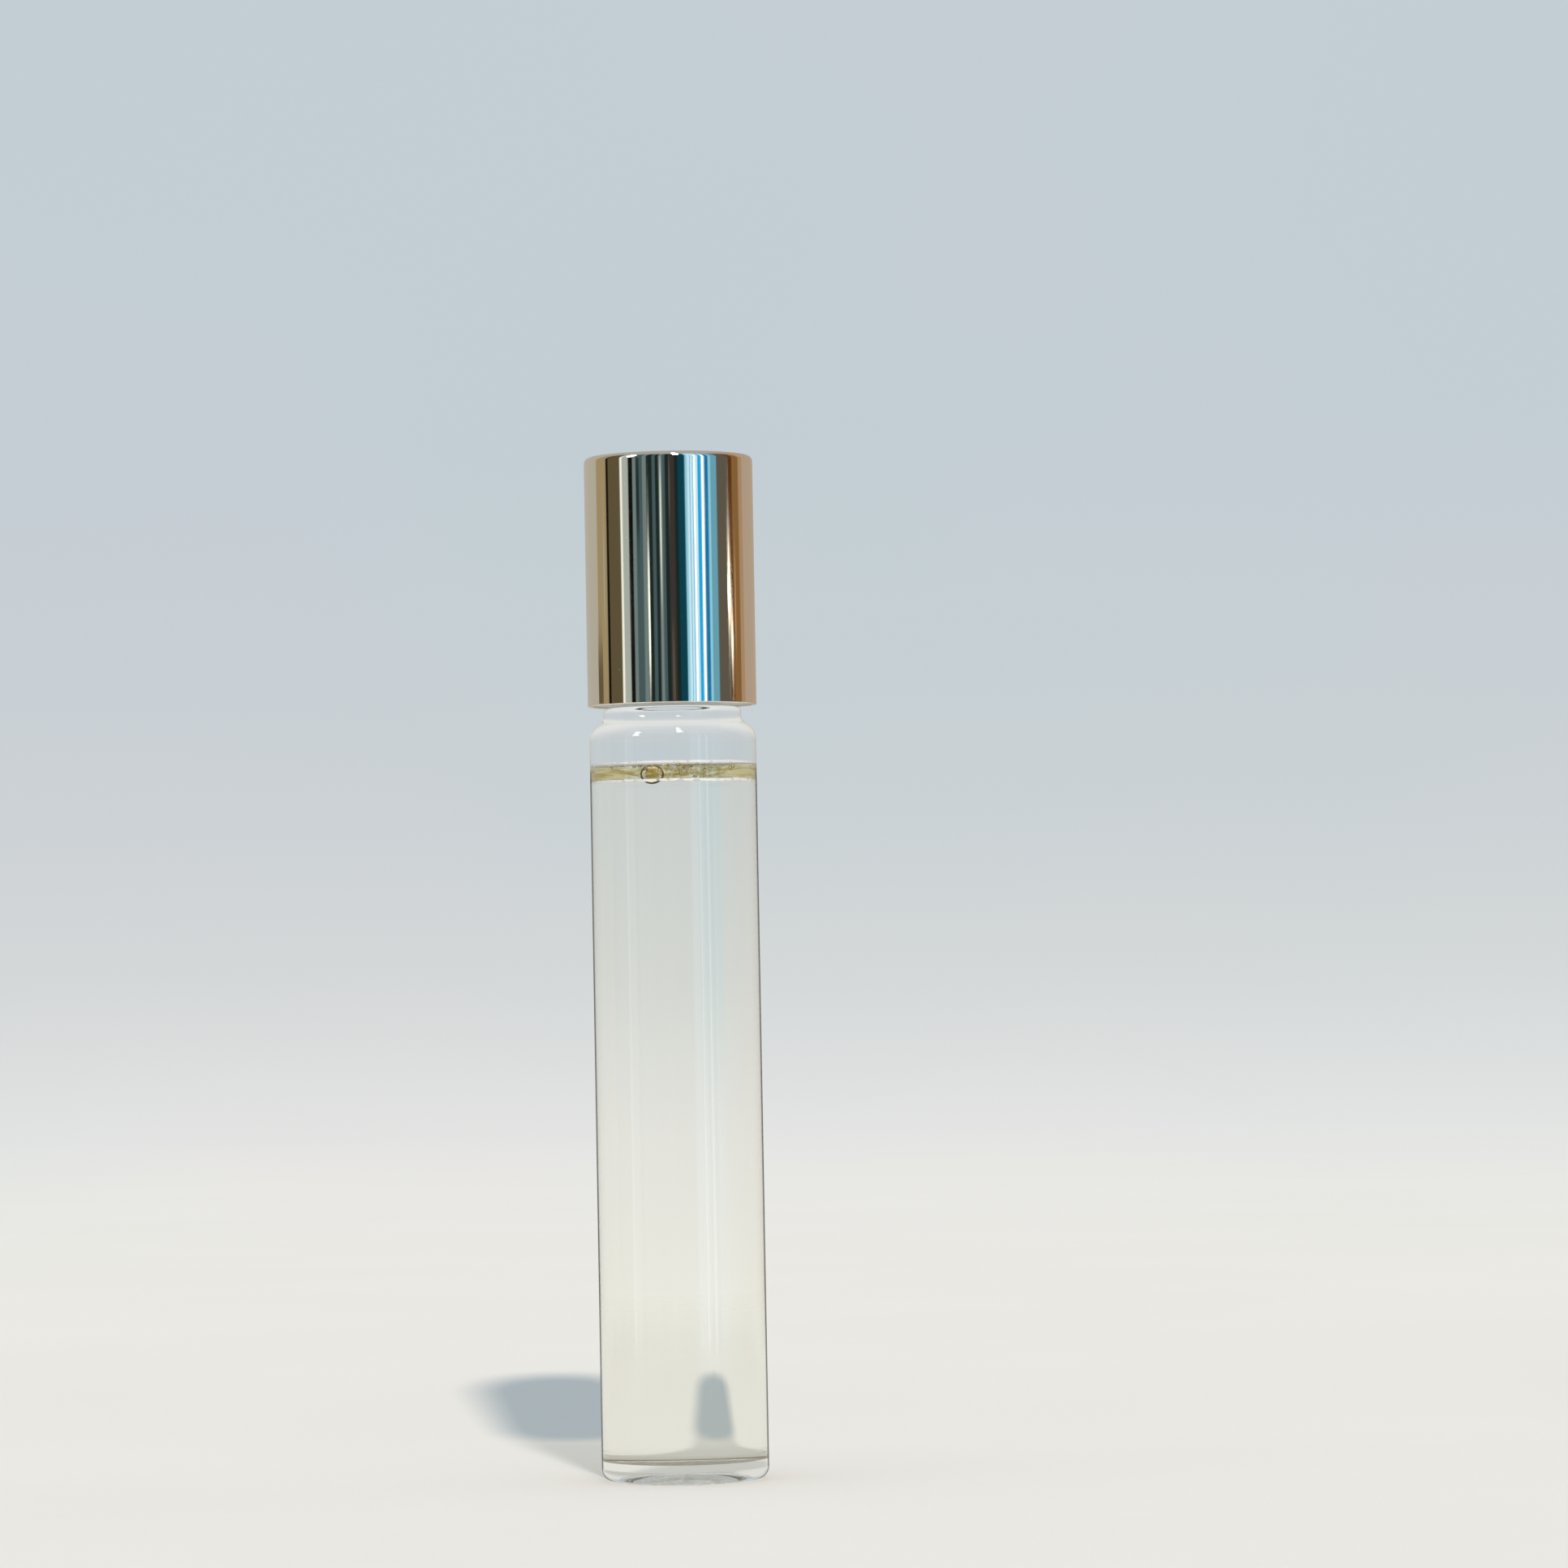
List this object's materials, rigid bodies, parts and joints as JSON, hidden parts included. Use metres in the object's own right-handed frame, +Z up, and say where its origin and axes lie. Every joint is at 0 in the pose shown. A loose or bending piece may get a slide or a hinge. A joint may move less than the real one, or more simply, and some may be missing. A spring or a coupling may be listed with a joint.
{
  "type": "roll-on bottle",
  "caption": "Slim clear glass roll-on vial of pale fragrance oil, with a steel ball in a plastic housing in its neck and a tall polished metal screw cap with a plastic insert.",
  "frame": {"origin": "on the axis, in the plane of the ring that the bottle stands on", "axes": "+Z up along the axis from the base to the cap; +X to the right and +Y away from the viewer of the picture"},
  "size_m": [0.0162, 0.0162, 0.098],
  "materials": {
    "clear_glass": "clear flint glass, fire polished",
    "pale_oil": "clear liquid with a faint straw tint",
    "natural_polyethylene": "moulded natural polyethylene, slightly translucent",
    "steel_ball": "polished stainless steel",
    "soft_seal": "soft foamed polyethylene",
    "white_polypropylene": "moulded white polypropylene",
    "polished_shell": "drawn, mirror polished and anodised in a pale champagne tint"
  },
  "bodies": {
    "bottle": {"glass_bottle": "clear_glass", "fragrance_oil": "pale_oil", "roller_housing": "natural_polyethylene"},
    "ball": {"roller_ball": "steel_ball"},
    "seal": {"ball_seal": "soft_seal"},
    "cap": {"inner_cap": "white_polypropylene", "cap_shell": "polished_shell"}
  },
  "joints": [
    {"name": "ball_roll", "type": "hinge", "parent": "bottle", "child": "ball", "pos_m": [0, 0, 0.08563], "axis": [1, 0, 0], "continuous": true},
    {"name": "cap_rise", "type": "slide", "parent": "bottle", "child": "seal", "axis": [0, 0, 1], "range_m": [0, 0.01906]},
    {"name": "cap_twist", "type": "hinge", "parent": "seal", "child": "cap", "pos_m": [0, 0, 0.0741], "axis": [0, 0, 1], "range_deg": [0, 3240]}
  ],
  "couplings": [
    {"joint": "cap_rise", "follows": "cap_twist", "m_per_rad": 0.00033688}
  ]
}
